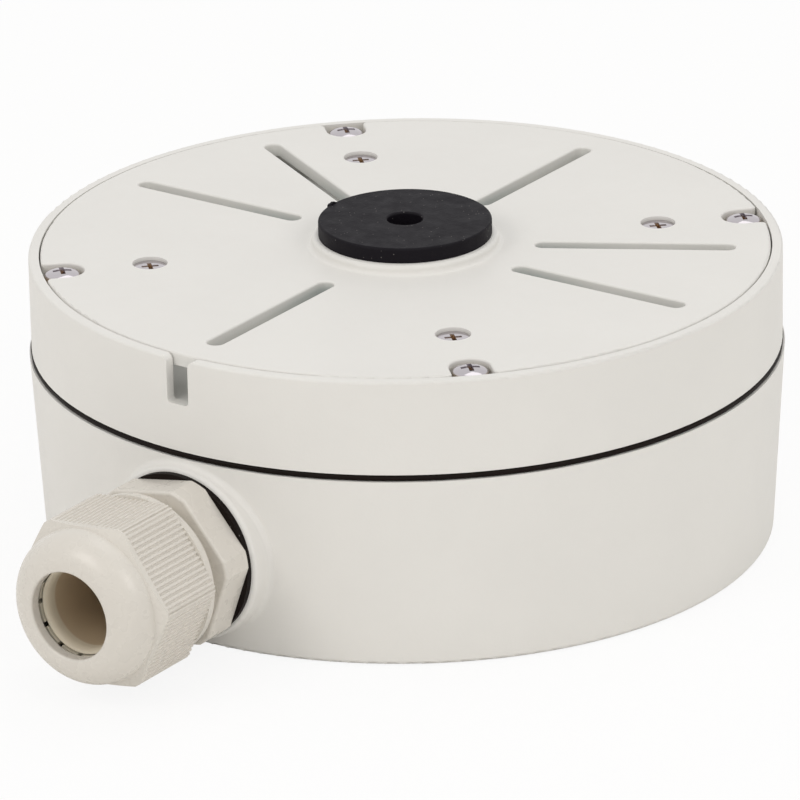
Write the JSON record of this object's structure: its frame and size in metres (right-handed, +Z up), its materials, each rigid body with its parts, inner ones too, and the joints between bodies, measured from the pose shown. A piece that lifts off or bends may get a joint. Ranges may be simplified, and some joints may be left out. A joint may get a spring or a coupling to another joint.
{
  "type": "camera junction box",
  "caption": "Round cast junction box for a dome camera: tapered base, sealed upper cover, slotted mounting plate, rubber grommet and side cable gland.",
  "frame": {"origin": "centre of the base's flat underside", "axes": "+Z up through the mounting plate, cable gland pointing along -Y"},
  "size_m": [0.1378, 0.1722, 0.059],
  "materials": {
    "housing_paint": "pale grey-white powder coat on cast aluminium, satin",
    "black_rubber": "matt black rubber",
    "gland_plastic": "pale warm grey nylon, satin",
    "claw_plastic": "off-white nylon",
    "seal_rubber": "beige rubber",
    "bright_screw": "bright nickel-plated steel",
    "brass_screw": "plain brass"
  },
  "bodies": {
    "housing": {"base_housing": "housing_paint", "cover_ring": "housing_paint", "mounting_plate": "housing_paint", "cover_gasket": "black_rubber", "cable_grommet": "black_rubber", "gland_washer": "black_rubber", "gland_body": "gland_plastic", "gland_claw_ring": "claw_plastic", "gland_seal": "seal_rubber", "earth_screw": "brass_screw", "earth_washer": "brass_screw", "cover_screw_1": "bright_screw", "plate_screw_1": "bright_screw", "cover_screw_2": "bright_screw", "plate_screw_2": "bright_screw", "cover_screw_3": "bright_screw", "plate_screw_3": "bright_screw", "cover_screw_4": "bright_screw", "plate_screw_4": "bright_screw"},
    "gland_nut": {"dome_nut": "gland_plastic"}
  },
  "joints": [
    {"name": "gland_nut_turn", "type": "hinge", "parent": "housing", "child": "gland_nut", "pos_m": [0, -0.0927, 0.0182], "axis": [0, -1, 0], "range_deg": [-570, 1290]}
  ]
}
